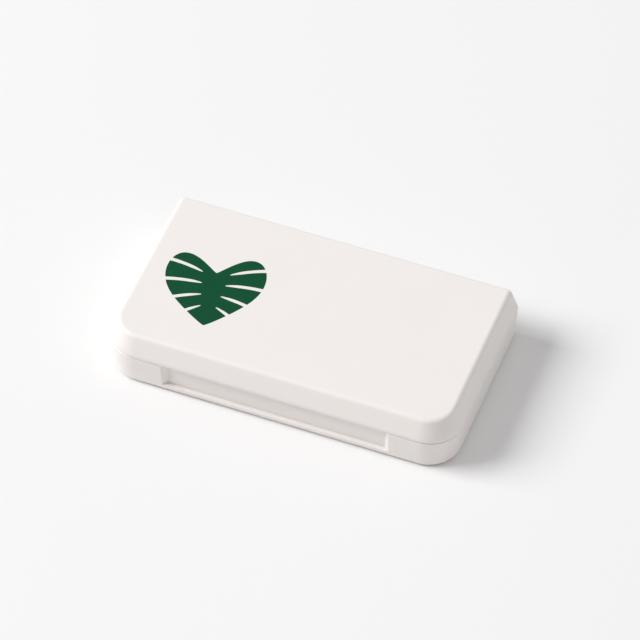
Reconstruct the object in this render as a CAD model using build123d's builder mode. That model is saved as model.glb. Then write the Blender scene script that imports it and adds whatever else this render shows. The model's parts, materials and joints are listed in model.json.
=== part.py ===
"""Pocket pill splitter: a flat hinged case with a cutting blade in the lid.

The origin is on the ground under the middle of the whole object, hinge barrels
included. +X runs along the case's length, +Y points to the hinge at its back and
+Z up. The lid turns about the hinge pins at the parting line. Millimetres.
"""
from build123d import *
import os
from math import cos, radians, sin, sqrt, tan

# ---------------------------------------------------------------- case sizes
case_length = 105.0          # along X
case_width = 56.4            # along Y, without the hinge barrels
case_height = 17.7           # from the ground to the top of the lid
parting_height = 10.4        # from the ground to the rim of the base
wall = 1.8                   # side walls of both shells
floor_thickness = 1.5
top_thickness = 1.5
front_corner_radius = 10.0
back_edge_radius = 0.9
bottom_edge_radius = 1.2
base_draft = 2.0             # degrees, the base narrows towards the ground
rim_gap = 0.1                # between the closed lid and the rim
rim_chamfer = 0.3            # breaks both edges of the parting line

# ---------------------------------------------------------------- lid form
shoulder_drop = 5.9          # the sides lean inwards over this height
side_lean = 22.0             # degrees from vertical
top_edge_radius = 1.6
shoulder_radius = 2.0
inner_edge_radius = 0.8

# ---------------------------------------------------------------- finger recess
recess_length = 68.4         # at the front face
recess_depth = 1.6
recess_slant = 1.7           # how far each end wall runs inwards
ledge_height = 2.4           # the recess's ledge above the ground

# ---------------------------------------------------------------- rim and seal
tongue_gap = 0.3             # between the tongue and the lid wall
tongue_height = 1.5          # above the rim
rim_flange = 1.6             # depth of the thick band under the rim
band_height = 0.9
band_lift = 0.35             # bottom of the seal band above the rim
band_depth = 0.6             # how deep the band sits in the tongue
band_gap = 0.1               # between the band and the lid wall
small_fit = 0.05             # around pieces that are pressed or glued in

# ---------------------------------------------------------------- hinge
hinge_setback = 1.3          # the axis stands this far behind the back wall
barrel_radius = 1.7
barrel_clearance = 0.2
hinge_pin_radius = 0.7
running_fit = 0.05           # radial, lid barrel on its pin
light_fit = 0.02             # radial, pin in the base barrels
hinge_spacing = 58.0         # between the two hinges
lid_barrel_length = 8.0
base_barrel_length = 5.0
barrel_side_gap = 0.2
pin_inset = 0.3              # pin ends below the barrel faces

# ---------------------------------------------------------------- feet
foot_radius = 3.5
foot_proud = 0.4
foot_socket = 0.8
foot_edge = 0.2
foot_span_x = 84.0
foot_span_y = 38.0

# ---------------------------------------------------------------- inside layout
partition_thickness = 1.2
cutter_bay_length = 33.0     # along X, at the left end
insert_fit = 0.2             # around the tray and the cradle

# ---------------------------------------------------------------- storage tray
tray_wall = 1.0
tray_floor = 1.0
tray_rise = 3.6              # tray walls stand this far above the rim
tray_columns = 3
tray_rows = 2
tray_pocket_radius = 3.0
tray_bottom_radius = 1.5
pad_gap = 0.1                # between the tray's walls and the lid pad
pad_setback = 0.8            # pad edge inside the tray's outer edge
pad_groove_width = 1.4
pad_groove_depth = 0.5

# ---------------------------------------------------------------- pill cradle
cradle_plate = 1.7           # floor of the V, above the case floor
cradle_height = 5.2          # V walls above that plate
cradle_front_gap = 1.1       # between the cradle and the front of the mouth
cradle_margin = 5.0          # cradle behind the blade
vee_half_angle = 28.0        # degrees, from the blade's plane
vee_mouth_depth = 4.0        # the V is parallel-sided for this far
vee_apex_inset = 5.0         # apex of the V in front of the blade's rear end
blade_slot_width = 1.2
slot_run = 1.5               # slot beyond each end of the blade
post_radius = 1.5
post_height = 1.2
post_spacing = 24.0
post_inset = 5.5             # from the rear of the cradle

# ---------------------------------------------------------------- cradle grips
grip_thickness = 1.2
grip_start = 3.0             # from the apex of the V, along its wall
grip_end_gap = 5.6           # left of the wall beyond the grip
grip_below_top = 0.3
rib_radius = 0.35
rib_pitch = 2.4

# ---------------------------------------------------------------- blade and its holder
holder_front_gap = 1.0       # between the holder and the front of the mouth
holder_back_gap = 5.0        # between the holder and the back of the mouth
blade_thickness = 0.4
blade_edge_height = 0.5      # cutting edge above the case floor, lid closed
blade_grip = 3.6             # height of blade held in the holder
bevel_height = 1.8
edge_thickness = 0.06
holder_half_width = 3.8
clamp_width = 3.0
holder_drop = 4.9            # from the lid's ceiling to the bottom of the holder
holder_overlap = 0.5         # holder beyond each end of the blade
holder_foot_length = 5.6     # along Y, each end
holder_foot_thickness = 1.6
holder_edge = 0.4
clamp_gap = 0.3              # above the blade, and clamp to ceiling
rivet_radius = 0.8
rivet_head_radius = 1.4
rivet_head_height = 0.5
rivet_spacing = 18.0
rivet_sunk = 0.6             # plain end below the holder's side
boss_radius = 2.6
boss_height = 3.1
screw_radius = 1.0
screw_clearance = 0.15
screw_head_radius = 1.8
screw_head_height = 1.2
screw_length = 4.6           # under the head
screw_tip_gap = 0.3
cross_width = 0.45
cross_depth = 0.6

# ---------------------------------------------------------------- derived places
case_centre_y = -(hinge_setback + barrel_radius) / 2
front_y = case_centre_y - case_width / 2
back_y = case_centre_y + case_width / 2
end_x = case_length / 2
base_bottom = foot_proud
base_setback = (parting_height - base_bottom) * tan(radians(base_draft))
floor_top = base_bottom + floor_thickness
lid_bottom = parting_height + rim_gap
ceiling = case_height - top_thickness
shoulder_height = case_height - shoulder_drop
rear_overrun = 2 * shoulder_drop
hinge_y = back_y + hinge_setback
hinge_z = parting_height
hinge_centres = (-hinge_spacing / 2, hinge_spacing / 2)
tongue_setback = wall + tongue_gap
mouth_setback = recess_depth + wall          # inner face of the tongue
recess_height = parting_height - ledge_height
mouth_front = front_y + mouth_setback
mouth_back = back_y - mouth_setback
mouth_end = end_x - mouth_setback

partition_left = -mouth_end + cutter_bay_length
partition_right = partition_left + partition_thickness
cutter_x = -mouth_end + cutter_bay_length / 2
blade_front = mouth_front + holder_front_gap + holder_foot_length + holder_overlap
blade_rear = mouth_back - holder_back_gap - holder_foot_length - holder_overlap
blade_length = blade_rear - blade_front
cradle_front = mouth_front + cradle_front_gap
cradle_rear = blade_rear + cradle_margin
vee_mouth_y = cradle_front + vee_mouth_depth
vee_apex_y = blade_rear - vee_apex_inset
vee_wall_length = (vee_apex_y - vee_mouth_y) / cos(radians(vee_half_angle))
grip_length = vee_wall_length - grip_start - grip_end_gap
post_y = cradle_rear - post_inset
blade_y = (blade_front + blade_rear) / 2
blade_bottom = floor_top + blade_edge_height
holder_bottom = ceiling - holder_drop
blade_top = holder_bottom + blade_grip

tray_left = partition_right + insert_fit
tray_right = mouth_end - insert_fit
tray_front = mouth_front + insert_fit
tray_back = mouth_back - insert_fit
tray_top = parting_height + tray_rise
tray_centre = ((tray_left + tray_right) / 2, (tray_front + tray_back) / 2)
band_bottom = parting_height + band_lift
tongue_top = parting_height + tongue_height
flange_bottom = parting_height - rim_flange
partition_x = (partition_left + partition_right) / 2
plate_top = floor_top + cradle_plate
cradle_top = plate_top + cradle_height
holder_top = ceiling - clamp_gap
holder_run = blade_length + 2 * holder_overlap
boss_bottom = ceiling - boss_height
screw_top = boss_bottom - holder_foot_thickness + screw_length
rivet_height = (holder_bottom + blade_top) / 2
rivet_places = [
    (blade_y - rivet_spacing / 2, rivet_height),
    (blade_y + rivet_spacing / 2, rivet_height),
]
screw_reach = (holder_run + holder_foot_length) / 2
screw_centres = [(cutter_x, blade_y - screw_reach), (cutter_x, blade_y + screw_reach)]
post_centres = [
    (cutter_x - post_spacing / 2, post_y),
    (cutter_x + post_spacing / 2, post_y),
]

foot_centres = {
    "foot_front_left": (-foot_span_x / 2, case_centre_y - foot_span_y / 2),
    "foot_front_right": (foot_span_x / 2, case_centre_y - foot_span_y / 2),
    "foot_back_left": (-foot_span_x / 2, case_centre_y + foot_span_y / 2),
    "foot_back_right": (foot_span_x / 2, case_centre_y + foot_span_y / 2),
}


# ---------------------------------------------------------------- shared outlines
def plan_outline(setback, back_radius=0.0, overrun=0.0):
    """The case's plan drawn inside its outer face: round in front, squarer behind."""
    with BuildSketch() as plan:
        with Locations((0, case_centre_y + overrun / 2)):
            Rectangle(case_length - 2 * setback, case_width - 2 * setback + overrun)
        fillet(plan.vertices().group_by(Axis.Y)[0], front_corner_radius - setback)
        if back_radius > 0:
            fillet(plan.vertices().group_by(Axis.Y)[-1], back_radius)
    return plan.sketch


def insert_outline(setback, left, right, front, back):
    """The part of an inner plan between two x values and two y values."""
    with BuildSketch() as insert:
        add(plan_outline(setback, back_edge_radius))
        with Locations(((left + right) / 2, (front + back) / 2)):
            Rectangle(right - left, back - front, mode=Mode.INTERSECT)
    return insert.sketch


def recess_outline():
    """Plan of the finger recess: its end walls run inwards at a slant."""
    half = recess_length / 2
    with BuildSketch() as recess:
        with BuildLine():
            Polyline(
                (-half - recess_slant, front_y - recess_depth),
                (-half + recess_slant, front_y + recess_depth),
                (half - recess_slant, front_y + recess_depth),
                (half + recess_slant, front_y - recess_depth),
                close=True,
            )
        make_face()
    return recess.sketch


def grip_outline(side):
    """Plan of one grip, let into its wall of the V. side is -1 left, 1 right."""
    angle = radians(vee_half_angle)
    along = Vector(side * sin(angle), -cos(angle))
    outward = Vector(side * cos(angle), sin(angle))
    near = Vector(cutter_x, vee_apex_y) + along * grip_start
    far = near + along * grip_length
    with BuildSketch() as grip:
        with BuildLine():
            Polyline(
                near,
                far,
                far + outward * grip_thickness,
                near + outward * grip_thickness,
                close=True,
            )
        make_face()
    return grip.sketch


def grip_rib_centres(side):
    """Evenly spaced ribs down the face of one grip."""
    angle = radians(vee_half_angle)
    along = Vector(side * sin(angle), -cos(angle))
    apex = Vector(cutter_x, vee_apex_y)
    count = int((grip_length - rib_pitch) / rib_pitch)
    first = grip_start + (grip_length - (count - 1) * rib_pitch) / 2
    return [apex + along * (first + index * rib_pitch) for index in range(count)]


def rod_along_x(start, length, radius):
    """A rod on the hinge axis, from start along +X."""
    with BuildPart() as rod:
        with BuildSketch(Plane.YZ.offset(start)):
            with Locations((hinge_y, hinge_z)):
                Circle(radius)
        extrude(amount=length)
    return rod.part


def hinge_barrel(start, length, side, seat):
    """One hinge barrel and the gusset that ties it to the back wall.

    side is -1 for the base, whose gusset hangs down, and 1 for the lid.
    seat is the height where the gusset meets the parting line.
    """
    reach = barrel_radius / sqrt(2)
    foot = hinge_z + side * (2 * reach + hinge_setback)
    root = back_y - wall / 2
    with BuildPart() as barrel:
        with BuildSketch(Plane.YZ.offset(start)):
            with Locations((hinge_y, hinge_z)):
                Circle(barrel_radius)
            with BuildLine():
                Polyline(
                    (root, seat),
                    (hinge_y, seat),
                    (hinge_y + reach, hinge_z + side * reach),
                    (back_y, foot),
                    (root, foot + side * wall / 2),
                    close=True,
                )
            make_face()
        extrude(amount=length)
    return barrel.part


def lid_block(setback, top, edge_radius):
    """The lid's form above the parting line, its sides leaning in, cut flat behind."""
    long_plan = plan_outline(setback, 0, rear_overrun)
    with BuildPart() as block:
        with BuildSketch(Plane.XY.offset(lid_bottom)):
            add(long_plan)
        extrude(amount=shoulder_height - lid_bottom)
        with BuildSketch(Plane.XY.offset(shoulder_height)):
            add(long_plan)
        extrude(amount=top - shoulder_height, taper=side_lean)
        fillet(block.edges().group_by(Axis.Z)[-1], edge_radius)
        shoulder = block.edges().filter_by_position(
            Axis.Z, shoulder_height - small_fit, shoulder_height + small_fit
        )
        fillet(shoulder, shoulder_radius)
        split(bisect_by=Plane.XZ.offset(setback - back_y), keep=Keep.TOP)
    return block.part


lid_barrel_starts = []
base_barrel_starts = []
for centre in hinge_centres:
    side_step = lid_barrel_length / 2 + barrel_side_gap
    lid_barrel_starts.append(centre - lid_barrel_length / 2)
    base_barrel_starts.append(centre - side_step - base_barrel_length)
    base_barrel_starts.append(centre + side_step)
hinge_run = lid_barrel_length + 2 * (barrel_side_gap + base_barrel_length)

room_plan = plan_outline(wall, back_edge_radius)
tongue_plan = plan_outline(tongue_setback, back_edge_radius)
mouth_plan = plan_outline(mouth_setback, back_edge_radius)
band_plan = plan_outline(wall + band_gap, back_edge_radius)
band_seat_plan = plan_outline(tongue_setback + band_depth, back_edge_radius)
recess_plan = recess_outline()
tray_plan = insert_outline(
    mouth_setback + insert_fit, tray_left, tray_right, tray_front, tray_back
)
pocket_limit = plan_outline(mouth_setback + insert_fit + tray_wall, back_edge_radius)
pad_plan = insert_outline(
    mouth_setback + insert_fit + pad_setback,
    tray_left + pad_setback,
    tray_right,
    tray_front,
    tray_back,
)
cradle_plan = insert_outline(
    mouth_setback + insert_fit,
    -mouth_end,
    partition_left - insert_fit,
    cradle_front,
    cradle_rear,
)
grip_plans = {"cradle_grip_left": grip_outline(-1), "cradle_grip_right": grip_outline(1)}
grip_ribs = {"cradle_grip_left": grip_rib_centres(-1), "cradle_grip_right": grip_rib_centres(1)}

# ================================================================ base shell
with BuildPart() as base_shell:
    with BuildSketch(Plane.XY.offset(base_bottom)):
        add(plan_outline(base_setback, back_edge_radius))
    extrude(amount=parting_height - base_bottom, taper=-base_draft)
    fillet(base_shell.edges().group_by(Axis.Z)[0], bottom_edge_radius)
    chamfer(base_shell.edges().group_by(Axis.Z)[-1], rim_chamfer)

    # tongue that stands inside the closed lid, with a seat for the seal band
    with BuildSketch(Plane.XY.offset(parting_height)):
        add(tongue_plan)
    extrude(amount=tongue_height)
    with BuildSketch(Plane.XY.offset(band_bottom - small_fit)):
        add(tongue_plan)
        add(band_seat_plan, mode=Mode.SUBTRACT)
    extrude(amount=band_height + 2 * small_fit, mode=Mode.SUBTRACT)

    # mouth, and the wider room below it, held off the finger recess
    with BuildSketch(Plane.XY.offset(floor_top)):
        add(mouth_plan)
    extrude(amount=tongue_top - floor_top, mode=Mode.SUBTRACT)
    with BuildSketch(Plane.XY.offset(floor_top)):
        add(room_plan)
        with Locations((0, front_y)):
            Rectangle(recess_length + 2 * wall, 2 * mouth_setback, mode=Mode.SUBTRACT)
    extrude(amount=flange_bottom - floor_top, mode=Mode.SUBTRACT)

    # finger recess in the front wall, open upwards at the rim
    with BuildSketch(Plane.XY.offset(ledge_height)):
        add(recess_plan)
    extrude(amount=recess_height, mode=Mode.SUBTRACT)

    # partition between the cutter bay and the tray
    with BuildSketch(Plane.XY.offset(floor_top)):
        with Locations((partition_x, case_centre_y)):
            Rectangle(partition_thickness, case_width - 2 * mouth_setback)
    extrude(amount=parting_height - floor_top)
    with BuildSketch(Plane.XY.offset(floor_top)):
        with Locations((partition_x, mouth_back)):
            Rectangle(partition_thickness, 2 * (mouth_setback - wall))
    extrude(amount=flange_bottom - floor_top)

    # posts that locate the cradle, and sockets for the feet
    with BuildSketch(Plane.XY.offset(floor_top)):
        with Locations(*post_centres):
            Circle(post_radius)
    extrude(amount=post_height)
    with BuildSketch(Plane.XY.offset(base_bottom)):
        with Locations(*foot_centres.values()):
            Circle(foot_radius + small_fit)
    extrude(amount=foot_socket, mode=Mode.SUBTRACT)

    # hinge: room for the lid's barrels, then the base's own barrels and pin bores
    for start in lid_barrel_starts:
        add(
            rod_along_x(
                start - barrel_side_gap,
                lid_barrel_length + 2 * barrel_side_gap,
                barrel_radius + barrel_clearance,
            ),
            mode=Mode.SUBTRACT,
        )
    for start in base_barrel_starts:
        add(hinge_barrel(start, base_barrel_length, -1, parting_height))
        add(
            rod_along_x(start, base_barrel_length, hinge_pin_radius + light_fit),
            mode=Mode.SUBTRACT,
        )

# ================================================================ seal band
with BuildPart() as seal_band:
    with BuildSketch(Plane.XY.offset(band_bottom)):
        add(band_plan)
        add(band_seat_plan, mode=Mode.SUBTRACT)
    extrude(amount=band_height)

# ================================================================ lid shell
with BuildPart() as lid_shell:
    add(lid_block(0, case_height, top_edge_radius))
    back_outline = lid_shell.faces().sort_by(Axis.Y)[-1].edges()
    fillet(back_outline.sort_by(Axis.Z)[1:], back_edge_radius)
    chamfer(lid_shell.edges().group_by(Axis.Z)[0], rim_chamfer)
    add(lid_block(wall, ceiling, inner_edge_radius), mode=Mode.SUBTRACT)

    # bosses for the screws that hold the blade holder
    with BuildSketch(Plane.XY.offset(boss_bottom)):
        with Locations(*screw_centres):
            Circle(boss_radius)
    extrude(amount=ceiling + top_thickness / 2 - boss_bottom)
    with BuildSketch(Plane.XY.offset(boss_bottom)):
        with Locations(*screw_centres):
            Circle(screw_radius + light_fit)
    extrude(amount=screw_top + screw_tip_gap - boss_bottom, mode=Mode.SUBTRACT)

    # hinge: room for the base's barrels, then the lid's own barrels and pin bores
    for start in base_barrel_starts:
        add(
            rod_along_x(
                start - barrel_side_gap,
                base_barrel_length + 2 * barrel_side_gap,
                barrel_radius + barrel_clearance,
            ),
            mode=Mode.SUBTRACT,
        )
    for start in lid_barrel_starts:
        add(hinge_barrel(start, lid_barrel_length, 1, lid_bottom))
        add(
            rod_along_x(start, lid_barrel_length, hinge_pin_radius + running_fit),
            mode=Mode.SUBTRACT,
        )

# ================================================================ storage tray
pocket_length = (tray_right - tray_left - (tray_columns + 1) * tray_wall) / tray_columns
pocket_width = (tray_back - tray_front - (tray_rows + 1) * tray_wall) / tray_rows
with BuildPart() as storage_tray:
    with BuildSketch(Plane.XY.offset(floor_top)):
        add(tray_plan)
    extrude(amount=tray_top - floor_top)
    with BuildSketch(Plane.XY.offset(floor_top + tray_floor)):
        with Locations(tray_centre):
            with GridLocations(
                pocket_length + tray_wall, pocket_width + tray_wall, tray_columns, tray_rows
            ):
                RectangleRounded(pocket_length, pocket_width, tray_pocket_radius)
        add(pocket_limit, mode=Mode.INTERSECT)
    extrude(amount=tray_top - floor_top, mode=Mode.SUBTRACT)
    pocket_floor = storage_tray.edges().filter_by_position(
        Axis.Z, floor_top + tray_floor - small_fit, floor_top + tray_floor + small_fit
    )
    fillet(pocket_floor, tray_bottom_radius)

# ================================================================ lid pad
with BuildPart() as lid_pad:
    with BuildSketch(Plane.XY.offset(tray_top + pad_gap)):
        add(pad_plan)
    extrude(amount=ceiling - tray_top - pad_gap)
    with BuildSketch(Plane.XY.offset(tray_top + pad_gap)):
        with Locations(tray_centre):
            with GridLocations(pocket_length + tray_wall, 1, tray_columns - 1, 1):
                Rectangle(pad_groove_width, case_width)
            with GridLocations(1, pocket_width + tray_wall, 1, tray_rows - 1):
                Rectangle(case_length, pad_groove_width)
    extrude(amount=pad_groove_depth, mode=Mode.SUBTRACT)

# ================================================================ pill cradle
vee_half_mouth = (vee_apex_y - vee_mouth_y) * tan(radians(vee_half_angle))
with BuildPart() as pill_cradle:
    with BuildSketch(Plane.XY.offset(floor_top)):
        add(cradle_plan)
    extrude(amount=cradle_top - floor_top)
    with BuildSketch(Plane.XY.offset(plate_top)):
        with BuildLine():
            Polyline(
                (cutter_x, vee_apex_y),
                (cutter_x - vee_half_mouth, vee_mouth_y),
                (cutter_x - vee_half_mouth, cradle_front),
                (cutter_x + vee_half_mouth, cradle_front),
                (cutter_x + vee_half_mouth, vee_mouth_y),
                close=True,
            )
        make_face()
        for plan in grip_plans.values():
            add(plan)
    extrude(amount=cradle_height, mode=Mode.SUBTRACT)
    with BuildSketch(Plane.XY.offset(floor_top)):
        with Locations((cutter_x, blade_y)):
            Rectangle(blade_slot_width, blade_length + 2 * slot_run)
    extrude(amount=cradle_top - floor_top, mode=Mode.SUBTRACT)
    with BuildSketch(Plane.XY.offset(floor_top)):
        with Locations(*post_centres):
            Circle(post_radius + small_fit)
    extrude(amount=post_height + small_fit, mode=Mode.SUBTRACT)

# ================================================================ cradle grips
grips = {}
for name, plan in grip_plans.items():
    with BuildPart() as grip:
        with BuildSketch(Plane.XY.offset(plate_top)):
            add(plan)
            with Locations(*grip_ribs[name]):
                Circle(rib_radius)
        extrude(amount=cradle_height - grip_below_top)
    grips[name] = grip

# ================================================================ blade
with BuildPart() as blade:
    with BuildSketch(Plane.XZ.offset(-blade_rear)):
        with BuildLine():
            Polyline(
                (cutter_x - blade_thickness / 2, blade_top),
                (cutter_x + blade_thickness / 2, blade_top),
                (cutter_x + blade_thickness / 2, blade_bottom + bevel_height),
                (cutter_x + edge_thickness / 2, blade_bottom),
                (cutter_x - edge_thickness / 2, blade_bottom),
                (cutter_x - blade_thickness / 2, blade_bottom + bevel_height),
                close=True,
            )
        make_face()
    extrude(amount=blade_length)
    with BuildSketch(Plane.YZ.offset(cutter_x - blade_thickness)):
        with Locations(*rivet_places):
            Circle(rivet_radius + small_fit)
    extrude(amount=2 * blade_thickness, mode=Mode.SUBTRACT)

# ================================================================ blade holder
holder_left = cutter_x - holder_half_width
with BuildPart() as blade_holder:
    # body on the left of the blade, with a rib that closes over the blade's back
    with BuildSketch(Plane.YZ.offset(holder_left)):
        with Locations((blade_y, (holder_bottom + holder_top) / 2)):
            Rectangle(holder_run, holder_top - holder_bottom)
    extrude(amount=holder_half_width - blade_thickness / 2)
    with BuildSketch(Plane.XY.offset(blade_top + small_fit)):
        with Locations((cutter_x, blade_y)):
            Rectangle(blade_thickness, holder_run)
    extrude(amount=holder_top - blade_top - small_fit)
    # a foot at each end, screwed up against the lid's bosses
    with BuildSketch(Plane.XY.offset(boss_bottom - holder_foot_thickness)):
        with Locations(*screw_centres):
            Rectangle(2 * holder_half_width, holder_foot_length)
    extrude(amount=holder_foot_thickness)
    uprights = blade_holder.edges().filter_by(Axis.Z)
    fillet(uprights.group_by(Axis.Y)[0], holder_edge)
    fillet(blade_holder.edges().filter_by(Axis.Z).group_by(Axis.Y)[-1], holder_edge)
    with BuildSketch(Plane.XY.offset(boss_bottom - holder_foot_thickness)):
        with Locations(*screw_centres):
            Circle(screw_radius + screw_clearance)
    extrude(amount=holder_foot_thickness, mode=Mode.SUBTRACT)
    with BuildSketch(Plane.YZ.offset(holder_left)):
        with Locations(*rivet_places):
            Circle(rivet_radius + light_fit)
    extrude(amount=2 * holder_half_width, mode=Mode.SUBTRACT)

# ================================================================ blade clamp
with BuildPart() as blade_clamp:
    with BuildSketch(Plane.YZ.offset(cutter_x + blade_thickness / 2)):
        with Locations((blade_y, (holder_bottom + holder_top) / 2)):
            RectangleRounded(holder_run, holder_top - holder_bottom, holder_edge)
    extrude(amount=clamp_width - blade_thickness / 2)
    with BuildSketch(Plane.YZ.offset(cutter_x)):
        with Locations(*rivet_places):
            Circle(rivet_radius + light_fit)
    extrude(amount=clamp_width, mode=Mode.SUBTRACT)

# ================================================================ blade rivets
rivets = {}
for name, place in zip(("blade_rivet_front", "blade_rivet_rear"), rivet_places):
    with BuildPart() as rivet:
        with BuildSketch(Plane.YZ.offset(holder_left + rivet_sunk)):
            with Locations(place):
                Circle(rivet_radius)
        extrude(amount=holder_half_width - rivet_sunk + clamp_width)
        with BuildSketch(Plane.YZ.offset(cutter_x + clamp_width)):
            with Locations(place):
                Circle(rivet_head_radius)
        extrude(amount=rivet_head_height)
        rim = rivet.edges().filter_by(GeomType.CIRCLE).group_by(Axis.X)[-1]
        fillet(rim, rivet_head_height / 2)
    rivets[name] = rivet

# ================================================================ holder screws
screw_seat = boss_bottom - holder_foot_thickness
with BuildPart() as holder_screws:
    with BuildSketch(Plane.XY.offset(screw_seat - screw_head_height)):
        with Locations(*screw_centres):
            Circle(screw_head_radius)
    extrude(amount=screw_head_height)
    fillet(holder_screws.edges().group_by(Axis.Z)[0], screw_head_height / 2)
    with BuildSketch(Plane.XY.offset(screw_seat)):
        with Locations(*screw_centres):
            Circle(screw_radius)
    extrude(amount=screw_length)
    chamfer(holder_screws.edges().group_by(Axis.Z)[-1], screw_radius / 2)
    with BuildSketch(Plane.XY.offset(screw_seat - screw_head_height)):
        with Locations(*screw_centres):
            Rectangle(screw_head_radius, cross_width)
            Rectangle(cross_width, screw_head_radius)
    extrude(amount=cross_depth, mode=Mode.SUBTRACT)

# ================================================================ hinge pins
pins = {}
for name, centre in zip(("hinge_pin_left", "hinge_pin_right"), hinge_centres):
    with BuildPart() as pin:
        with BuildSketch(Plane.YZ.offset(centre - hinge_run / 2 + pin_inset)):
            with Locations((hinge_y, hinge_z)):
                Circle(hinge_pin_radius)
        extrude(amount=hinge_run - 2 * pin_inset)
        ends = pin.edges().filter_by(GeomType.CIRCLE)
        chamfer(ends, hinge_pin_radius / 5)
    pins[name] = pin

# ================================================================ feet
feet = {}
for name, place in foot_centres.items():
    with BuildPart() as foot:
        with BuildSketch():
            with Locations(place):
                Circle(foot_radius)
        extrude(amount=foot_proud + foot_socket)
        fillet(foot.edges().group_by(Axis.Z)[0], foot_edge)
    feet[name] = foot

# ================================================================ write the pieces
os.makedirs("parts", exist_ok=True)

base_shell.part.label = "base_shell"
export_step(base_shell.part, "parts/base_shell.step")
seal_band.part.label = "seal_band"
export_step(seal_band.part, "parts/seal_band.step")
lid_shell.part.label = "lid_shell"
export_step(lid_shell.part, "parts/lid_shell.step")
storage_tray.part.label = "storage_tray"
export_step(storage_tray.part, "parts/storage_tray.step")
lid_pad.part.label = "lid_pad"
export_step(lid_pad.part, "parts/lid_pad.step")
pill_cradle.part.label = "pill_cradle"
export_step(pill_cradle.part, "parts/pill_cradle.step")
blade.part.label = "blade"
export_step(blade.part, "parts/blade.step")
blade_holder.part.label = "blade_holder"
export_step(blade_holder.part, "parts/blade_holder.step")
blade_clamp.part.label = "blade_clamp"
export_step(blade_clamp.part, "parts/blade_clamp.step")
holder_screws.part.label = "holder_screws"
export_step(holder_screws.part, "parts/holder_screws.step")
for group in (grips, rivets, pins, feet):
    for name, piece in group.items():
        piece.part.label = name
        export_step(piece.part, f"parts/{name}.step")
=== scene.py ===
"""A pocket pill splitter: materials, the leaf print, stage, light and camera.

The CAD nodes carry the whole case. This script gives each of them a procedural
material, adds the printed leaf on the lid, and sets up a pale studio. Metres.
"""

import json
from math import copysign, cos, pi, radians, sin

import bmesh
import bpy
from mathutils import Matrix, Vector


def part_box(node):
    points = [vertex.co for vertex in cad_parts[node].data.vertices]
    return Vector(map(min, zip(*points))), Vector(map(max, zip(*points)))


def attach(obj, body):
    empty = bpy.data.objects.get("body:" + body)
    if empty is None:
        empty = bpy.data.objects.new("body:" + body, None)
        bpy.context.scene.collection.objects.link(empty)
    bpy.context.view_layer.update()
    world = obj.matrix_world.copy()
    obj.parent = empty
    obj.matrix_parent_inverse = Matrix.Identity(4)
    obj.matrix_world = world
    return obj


MM = 0.001

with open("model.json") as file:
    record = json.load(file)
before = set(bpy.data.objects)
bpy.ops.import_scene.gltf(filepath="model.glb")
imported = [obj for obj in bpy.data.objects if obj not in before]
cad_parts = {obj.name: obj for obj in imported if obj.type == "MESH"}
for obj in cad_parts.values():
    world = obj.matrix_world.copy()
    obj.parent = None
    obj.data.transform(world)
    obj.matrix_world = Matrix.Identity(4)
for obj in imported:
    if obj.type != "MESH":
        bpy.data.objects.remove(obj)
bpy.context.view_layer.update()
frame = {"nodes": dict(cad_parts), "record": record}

# The middle of the case without its hinge barrels, found from its front left foot.
foot_to_centre = 19.0 * MM
foot_place = frame["record"]["mounts"][0]["pos_m"]
case_centre = Vector((0.0, foot_place[1] + foot_to_centre, 0.0))
lid_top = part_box("lid_shell")[1].z


# ---------------------------------------------------------------- node helpers
def new_material(name):
    """A material with nodes, its tree and its Principled shader."""
    material = bpy.data.materials.new(name)
    material.use_nodes = True
    tree = material.node_tree
    return material, tree, tree.nodes["Principled BSDF"]


def add_node(tree, kind, values=None, **settings):
    """A new node with some of its settings and input values filled in."""
    node = tree.nodes.new(kind)
    for name, value in settings.items():
        setattr(node, name, value)
    for name, value in (values or {}).items():
        node.inputs[name].default_value = value
    return node


def object_place(tree, stretch=(1.0, 1.0, 1.0)):
    """Object coordinates, stretched along each axis."""
    place = add_node(tree, "ShaderNodeTexCoord")
    mapping = add_node(tree, "ShaderNodeMapping")
    mapping.inputs["Scale"].default_value = stretch
    tree.links.new(place.outputs["Object"], mapping.inputs["Vector"])
    return mapping.outputs["Vector"]


def noise(tree, place, grain, detail=2.0, roughness=0.5):
    """Noise whose grains are about the given size in metres."""
    node = add_node(
        tree,
        "ShaderNodeTexNoise",
        {"Scale": 1.0 / grain, "Detail": detail, "Roughness": roughness},
    )
    tree.links.new(place, node.inputs["Vector"])
    return node.outputs["Fac"]


def spread(tree, value, low, high, start=0.3, end=0.7):
    """The value's middle range mapped to low..high."""
    node = add_node(
        tree,
        "ShaderNodeMapRange",
        {"From Min": start, "From Max": end, "To Min": low, "To Max": high},
    )
    tree.links.new(value, node.inputs["Value"])
    return node.outputs["Result"]


def blend_colours(tree, factor, first, second):
    """Two colours mixed by a factor."""
    node = add_node(tree, "ShaderNodeMix", data_type="RGBA")
    node.inputs["A"].default_value = (*first, 1.0)
    node.inputs["B"].default_value = (*second, 1.0)
    tree.links.new(factor, node.inputs["Factor"])
    return node.outputs["Result"]


def add_bump(tree, shader, heights):
    """Chained bumps. Each height is (value, depth in metres, strength)."""
    normal = None
    for value, depth, strength in heights:
        node = add_node(tree, "ShaderNodeBump", {"Distance": depth, "Strength": strength})
        tree.links.new(value, node.inputs["Height"])
        if normal:
            tree.links.new(normal, node.inputs["Normal"])
        normal = node.outputs["Normal"]
    tree.links.new(normal, shader.inputs["Normal"])


def shade(colour, factor):
    """The colour, lighter or darker."""
    return tuple(min(1.0, channel * factor) for channel in colour)


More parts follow.
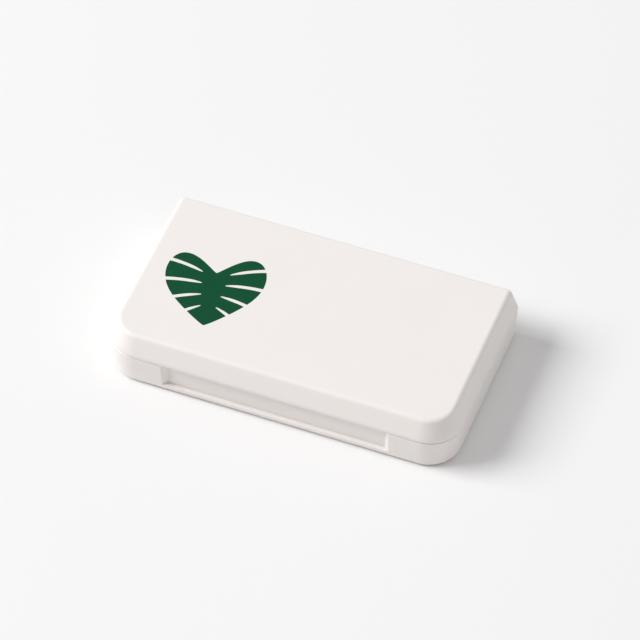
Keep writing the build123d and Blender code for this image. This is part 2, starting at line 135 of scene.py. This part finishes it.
# ---------------------------------------------------------------- materials
def moulded_plastic(name, colour, roughness, grain, glow):
    """Satin moulded plastic: fine spark-eroded grain over a faint orange peel."""
    material, tree, shader = new_material(name)
    place = object_place(tree)
    cloud = noise(tree, place, 22 * MM, 3.0)
    fine = noise(tree, place, grain, 3.0, 0.6)
    peel = noise(tree, place, 2.4 * MM, 1.0)
    smear = noise(tree, place, 7 * MM, 4.0)
    tint = blend_colours(tree, cloud, shade(colour, 0.985), shade(colour, 1.01))
    tree.links.new(tint, shader.inputs["Base Color"])
    tree.links.new(
        spread(tree, smear, roughness - 0.05, roughness + 0.06), shader.inputs["Roughness"]
    )
    shader.inputs["IOR"].default_value = 1.5
    shader.inputs["Subsurface Weight"].default_value = glow
    shader.inputs["Subsurface Radius"].default_value = (1.0, 0.9, 0.8)
    shader.inputs["Subsurface Scale"].default_value = 1.2 * MM
    add_bump(tree, shader, [(fine, 0.012 * MM, 0.5), (peel, 0.006 * MM, 0.4)])
    return material


def silicone(name, colour, roughness):
    """Milky silicone rubber with a dusty, slightly uneven surface."""
    material, tree, shader = new_material(name)
    place = object_place(tree)
    cloud = noise(tree, place, 6 * MM, 4.0)
    dust = noise(tree, place, 0.25 * MM, 2.0)
    tint = blend_colours(tree, cloud, shade(colour, 0.95), shade(colour, 1.03))
    tree.links.new(tint, shader.inputs["Base Color"])
    tree.links.new(
        spread(tree, dust, roughness - 0.08, roughness + 0.1), shader.inputs["Roughness"]
    )
    shader.inputs["IOR"].default_value = 1.41
    shader.inputs["Subsurface Weight"].default_value = 0.35
    shader.inputs["Subsurface Radius"].default_value = (1.0, 0.95, 0.9)
    shader.inputs["Subsurface Scale"].default_value = 2.0 * MM
    add_bump(tree, shader, [(dust, 0.02 * MM, 0.35), (cloud, 0.05 * MM, 0.2)])
    return material


def soft_rubber(name, colour):
    """Matte elastomer with a pebbled skin and pale rubbed patches."""
    material, tree, shader = new_material(name)
    place = object_place(tree)
    pebble = add_node(tree, "ShaderNodeTexVoronoi", {"Scale": 1.0 / (0.35 * MM)})
    tree.links.new(place, pebble.inputs["Vector"])
    rubbed = noise(tree, place, 3 * MM, 5.0)
    tint = blend_colours(tree, rubbed, shade(colour, 0.75), shade(colour, 1.3))
    tree.links.new(tint, shader.inputs["Base Color"])
    tree.links.new(spread(tree, rubbed, 0.55, 0.75), shader.inputs["Roughness"])
    shader.inputs["Sheen Weight"].default_value = 0.15
    add_bump(tree, shader, [(pebble.outputs["Distance"], 0.03 * MM, 0.5)])
    return material


def brushed_steel(name, colour, along, roughness):
    """Ground steel: hair lines drawn out along one axis, with faint stains."""
    material, tree, shader = new_material(name)
    stretch = tuple(0.02 if axis == along else 1.0 for axis in "XYZ")
    lines = noise(tree, object_place(tree, stretch), 0.05 * MM, 3.0, 0.7)
    stain = noise(tree, object_place(tree), 4 * MM, 4.0)
    tint = blend_colours(tree, lines, shade(colour, 0.88), shade(colour, 1.08))
    tree.links.new(tint, shader.inputs["Base Color"])
    tree.links.new(
        spread(tree, stain, roughness - 0.06, roughness + 0.08), shader.inputs["Roughness"]
    )
    shader.inputs["Metallic"].default_value = 1.0
    shader.inputs["Anisotropic"].default_value = 0.5
    add_bump(tree, shader, [(lines, 0.004 * MM, 0.5)])
    return material


def printed_ink(name, colour):
    """Pad-printed ink: an even coat with tiny pinholes and a faint screen grain."""
    material, tree, shader = new_material(name)
    place = object_place(tree)
    coat = noise(tree, place, 5 * MM, 4.0)
    grain = noise(tree, place, 0.18 * MM, 2.0)
    tint = blend_colours(tree, coat, shade(colour, 0.86), shade(colour, 1.16))
    tree.links.new(tint, shader.inputs["Base Color"])
    tree.links.new(spread(tree, grain, 0.5, 0.64), shader.inputs["Roughness"])
    shader.inputs["Specular IOR Level"].default_value = 0.12
    add_bump(tree, shader, [(grain, 0.01 * MM, 0.4)])
    return material


warm_white = (0.865, 0.832, 0.805)
case_plastic = moulded_plastic("case_plastic", warm_white, 0.42, 0.22 * MM, 0.05)
tray_plastic = moulded_plastic("tray_plastic", (0.84, 0.85, 0.845), 0.34, 0.3 * MM, 0.25)
cradle_plastic = moulded_plastic("cradle_plastic", (0.82, 0.82, 0.80), 0.45, 0.25 * MM, 0.05)
holder_plastic = moulded_plastic("holder_plastic", (0.78, 0.79, 0.77), 0.40, 0.25 * MM, 0.05)
clear_silicone = silicone("silicone", (0.80, 0.81, 0.81), 0.48)
grip_rubber = soft_rubber("grip_rubber", (0.035, 0.16, 0.09))
blade_steel = brushed_steel("blade_steel", (0.62, 0.63, 0.65), "Z", 0.22)
fastener_steel = brushed_steel("fastener_steel", (0.56, 0.57, 0.58), "X", 0.3)
leaf_ink = printed_ink("leaf_ink", (0.0035, 0.074, 0.028))

finishes = {
    "base_shell": case_plastic,
    "lid_shell": case_plastic,
    "storage_tray": tray_plastic,
    "pill_cradle": cradle_plastic,
    "blade_holder": holder_plastic,
    "blade_clamp": holder_plastic,
    "seal_band": clear_silicone,
    "lid_pad": clear_silicone,
    "blade": blade_steel,
}
for name, node in frame["nodes"].items():
    if name.startswith("cradle_grip"):
        finish = grip_rubber
    elif name.startswith("foot"):
        finish = clear_silicone
    else:
        finish = finishes.get(name, fastener_steel)
    for slot in node.material_slots:
        slot.material = finish


# ---------------------------------------------------------------- leaf print
leaf_centre = case_centre + Vector((-29.0 * MM, -0.4 * MM, 0.0))
leaf_turn = radians(11)
ink_thickness = 0.01 * MM
leaf_scale = 0.9         # millimetres per unit of the heart curve, which is 32 units wide
leaf_plumpness = 1.7     # power of the sine; 3 gives the textbook heart
margin_steps = 96
slit_pairs = 4
slit_reach = 18.0        # well past the margin
slit_width = 1.0
slit_mouth_width = 1.6
slit_bend = 0.06


def leaf_margin():
    """A plump heart curve, its tip pointing down."""
    margin = []
    for step in range(margin_steps):
        t = 2 * pi * step / margin_steps
        x = 16 * copysign(abs(sin(t)) ** leaf_plumpness, sin(t))
        y = 13 * cos(t) - 5 * cos(2 * t) - 2 * cos(3 * t) - cos(4 * t)
        margin.append(Vector((x, y)) * leaf_scale)
    return margin


def leaf_slits():
    """Evenly spaced slits, mirrored about the midrib and fanning down towards the tip."""
    slits = []
    for rank in range(slit_pairs):
        angle = radians(12 - 18 * rank)
        for side in (-1, 1):
            inner = Vector((side * (4.0 - 0.6 * rank), 4.4 - 4.2 * rank))
            mouth = inner + Vector((side * cos(angle), sin(angle))) * slit_reach
            slits.append(slit_outline(inner, mouth, slit_bend, slit_width, slit_mouth_width))
    return slits


def slit_outline(inner, mouth, bend, width, mouth_width):
    """A bowed slit with a rounded inner end. It bows towards the stalk."""
    chord = mouth - inner
    across = Vector((-chord.y, chord.x))
    if across.y < 0:
        across = -across
    middle = (inner + mouth) / 2 + across * bend * 2
    steps = 20
    upper, lower = [], []
    for step in range(steps + 1):
        t = step / steps
        point = inner * (1 - t) ** 2 + middle * 2 * t * (1 - t) + mouth * t**2
        heading = ((middle - inner) * (1 - t) + (mouth - middle) * t).normalized()
        aside = Vector((-heading.y, heading.x))
        swell = min(1.0, (0.06 + 5.0 * t)) ** 0.5
        half = swell * (width + (mouth_width - width) * t**2) / 2
        upper.append(point + aside * half)
        lower.append(point - aside * half)
    return [*upper, *reversed(lower)]


def prism(name, outlines, bottom, top):
    """Upright prisms over one or more outlines, given in millimetres, as one mesh."""
    shape = bmesh.new()
    for outline in outlines:
        corners = [shape.verts.new((p.x * MM, p.y * MM, bottom)) for p in outline]
        face = shape.faces.new(corners)
        raised = bmesh.ops.extrude_face_region(shape, geom=[face])["geom"]
        for vertex in raised:
            if isinstance(vertex, bmesh.types.BMVert):
                vertex.co.z = top
    bmesh.ops.recalc_face_normals(shape, faces=shape.faces)
    mesh = bpy.data.meshes.new(name)
    shape.to_mesh(mesh)
    shape.free()
    piece = bpy.data.objects.new(name, mesh)
    bpy.context.scene.collection.objects.link(piece)
    return piece


def make_leaf():
    """A flat, plain split leaf: a heart-shaped blade with mirrored slits cut out."""
    blade = prism("leaf_print", [leaf_margin()], 0.0, ink_thickness)
    cutter = prism("leaf_cuts", leaf_slits(), -1 * MM, 1 * MM)
    cut = blade.modifiers.new("cut", "BOOLEAN")
    cut.operation = "DIFFERENCE"
    cut.solver = "EXACT"
    cut.object = cutter
    graph = bpy.context.evaluated_depsgraph_get()
    mesh = bpy.data.meshes.new_from_object(blade.evaluated_get(graph))
    blade.modifiers.clear()
    place = Matrix.Translation((leaf_centre.x, leaf_centre.y, lid_top))
    mesh.transform(place @ Matrix.Rotation(leaf_turn, 4, "Z"))
    mesh.materials.clear()
    mesh.materials.append(leaf_ink)
    blade.data = mesh
    bpy.data.objects.remove(cutter)
    return blade


leaf = make_leaf()
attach(leaf, "lid")


# ---------------------------------------------------------------- stage
floor_size = 6.0
key_direction = (-0.742, -0.192, 0.643)
key_distance = 5.0
key_size = 2.5
key_power = 236.0
room_level = 0.285
room_slope = (0.235, 0.08, 0.30)     # brighter to the right, behind and above
least_room_level = 0.05
front_tint = (1.0, 0.90, 0.91)


def make_floor():
    """A wide matte tabletop with barely visible mottling."""
    bpy.ops.mesh.primitive_plane_add(size=floor_size, location=(0, 0, 0))
    floor = bpy.context.object
    floor.name = "floor"
    material, tree, shader = new_material("floor_paper")
    cloud = noise(tree, object_place(tree), 0.3, 2.0)
    tint = blend_colours(tree, cloud, (0.865, 0.87, 0.87), (0.885, 0.89, 0.89))
    tree.links.new(tint, shader.inputs["Base Color"])
    shader.inputs["Roughness"].default_value = 0.9
    shader.inputs["Specular IOR Level"].default_value = 0.1
    floor.data.materials.append(material)


def area_light(name, direction, distance, size, power):
    """A square soft box, seen from the case along a direction, facing the case."""
    data = bpy.data.lights.new(name, "AREA")
    data.size = size
    data.energy = power
    lamp = bpy.data.objects.new(name, data)
    towards = Vector(direction).normalized()
    lamp.location = case_centre + towards * distance
    lamp.rotation_euler = (-towards).to_track_quat("-Z", "Y").to_euler()
    bpy.context.scene.collection.objects.link(lamp)


def make_room():
    """A bright room: lightest overhead and to the right, warmer and dimmer in front."""
    world = bpy.data.worlds.new("room")
    world.use_nodes = True
    tree = world.node_tree
    background = tree.nodes["Background"]
    bearing = add_node(tree, "ShaderNodeTexCoord")
    slope = add_node(tree, "ShaderNodeVectorMath", operation="DOT_PRODUCT")
    slope.inputs[1].default_value = room_slope
    tree.links.new(bearing.outputs["Generated"], slope.inputs[0])
    level = add_node(tree, "ShaderNodeMath", {1: room_level}, operation="ADD")
    tree.links.new(slope.outputs["Value"], level.inputs[0])
    lit_level = add_node(tree, "ShaderNodeMath", {1: least_room_level}, operation="MAXIMUM")
    tree.links.new(level.outputs["Value"], lit_level.inputs[0])
    tree.links.new(lit_level.outputs["Value"], background.inputs["Strength"])
    parts = add_node(tree, "ShaderNodeSeparateXYZ")
    tree.links.new(bearing.outputs["Generated"], parts.inputs["Vector"])
    frontness = spread(tree, parts.outputs["Y"], 1.0, 0.0, -0.9, 0.1)
    tint = blend_colours(tree, frontness, (1.0, 1.0, 1.0), front_tint)
    tree.links.new(tint, background.inputs["Color"])
    bpy.context.scene.world = world


def make_lights():
    """The room, and a soft key from the left and slightly in front."""
    make_room()
    area_light("key", key_direction, key_distance, key_size, key_power)


def make_camera():
    """Looks down on the front right of the case from about 1.3 metres away."""
    azimuth = radians(21.02)
    elevation = radians(49.17)
    distance = 1286.0 * MM
    offset_right = 2.82 * MM
    offset_up = 2.69 * MM
    middle_height = 10.0 * MM
    back = Vector(
        (sin(azimuth) * cos(elevation), -cos(azimuth) * cos(elevation), sin(elevation))
    )
    right = Vector((cos(azimuth), sin(azimuth), 0.0))
    up = back.cross(right)
    aim = case_centre + Vector((0, 0, middle_height)) + right * offset_right + up * offset_up
    data = bpy.data.cameras.new("camera")
    data.lens = 256.4
    data.sensor_width = 36.0
    data.clip_start = 0.05
    camera = bpy.data.objects.new("camera", data)
    camera.matrix_world = Matrix.Translation(aim + back * distance) @ Matrix(
        (right, up, back)
    ).transposed().to_4x4()
    bpy.context.scene.collection.objects.link(camera)
    bpy.context.scene.camera = camera


make_floor()
make_lights()
make_camera()
bpy.context.scene.view_settings.view_transform = "Standard"
